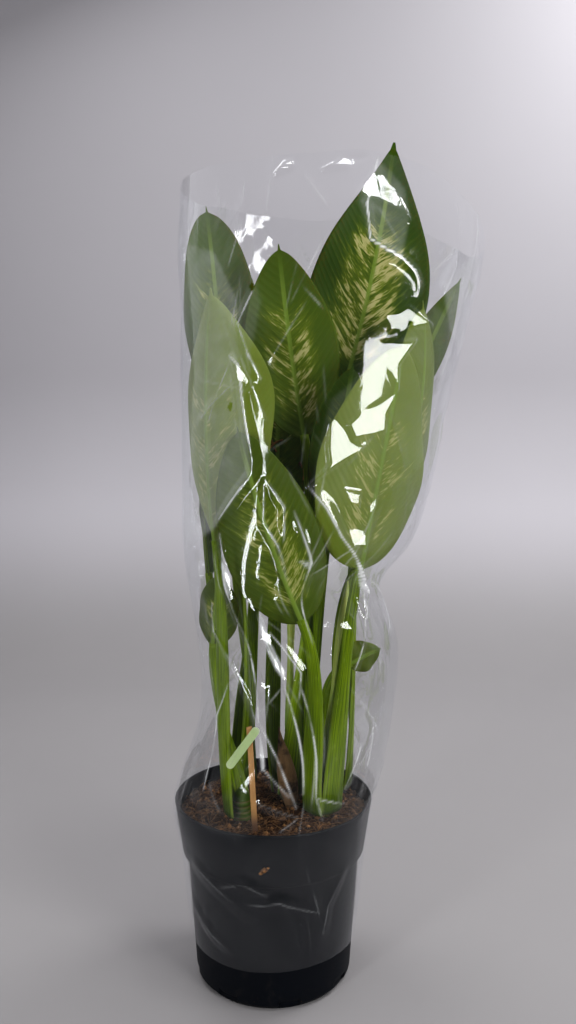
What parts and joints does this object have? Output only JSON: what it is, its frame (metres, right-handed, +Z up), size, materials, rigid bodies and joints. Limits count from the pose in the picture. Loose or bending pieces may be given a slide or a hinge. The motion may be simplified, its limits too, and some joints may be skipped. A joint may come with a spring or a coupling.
{
  "type": "potted foliage plant in a clear sleeve",
  "caption": "Upright dieffenbachia with large cream-feathered leaves on short canes, in a round grower's pot of coir, inside an open-topped clear film sleeve.",
  "frame": {"origin": "middle of the pot's flat underside, on the surface that the pot stands on", "axes": "+Z up along the pot's axis; -Y is the front; +X is the right-hand side seen from the front"},
  "size_m": [0.3745, 0.2836, 1.0162],
  "materials": {
    "pot": "satin moulded, near-black blue-grey",
    "soil": "damp coir and bark, matte",
    "stem": "smooth green stem",
    "leaf": "satin green blade with cream feathering along its side veins",
    "young_leaf": "pale, still rolled",
    "dry_sheath": "withered, papery",
    "stake": "raw split wood",
    "tag": "pale green, bare",
    "film": "clear glossy film"
  },
  "bodies": {
    "root": {"pot": "pot", "soil": "soil", "cane_front_right": "stem", "cane_front_left": "stem", "cane_middle": "stem", "cane_back": "stem", "cane_back_left": "stem", "cane_back_right": "stem", "leaf_tall_back": "leaf", "leaf_middle": "leaf", "leaf_left_back": "leaf", "leaf_left_front": "leaf", "leaf_front_low": "leaf", "leaf_front_right": "leaf", "leaf_right": "leaf", "leaf_far_right": "leaf", "leaf_small_left": "leaf", "leaf_low_right": "leaf", "leaf_back_tall": "leaf", "leaf_back_left": "leaf", "leaf_left_side": "leaf", "leaf_inner": "leaf", "leaf_inner_right": "leaf", "rolled_leaf_right": "young_leaf", "rolled_leaf_middle": "young_leaf", "dry_sheath": "dry_sheath", "stake": "stake", "tag": "tag", "film_sleeve": "film", "film_mouth": "film"}
  },
  "joints": []
}
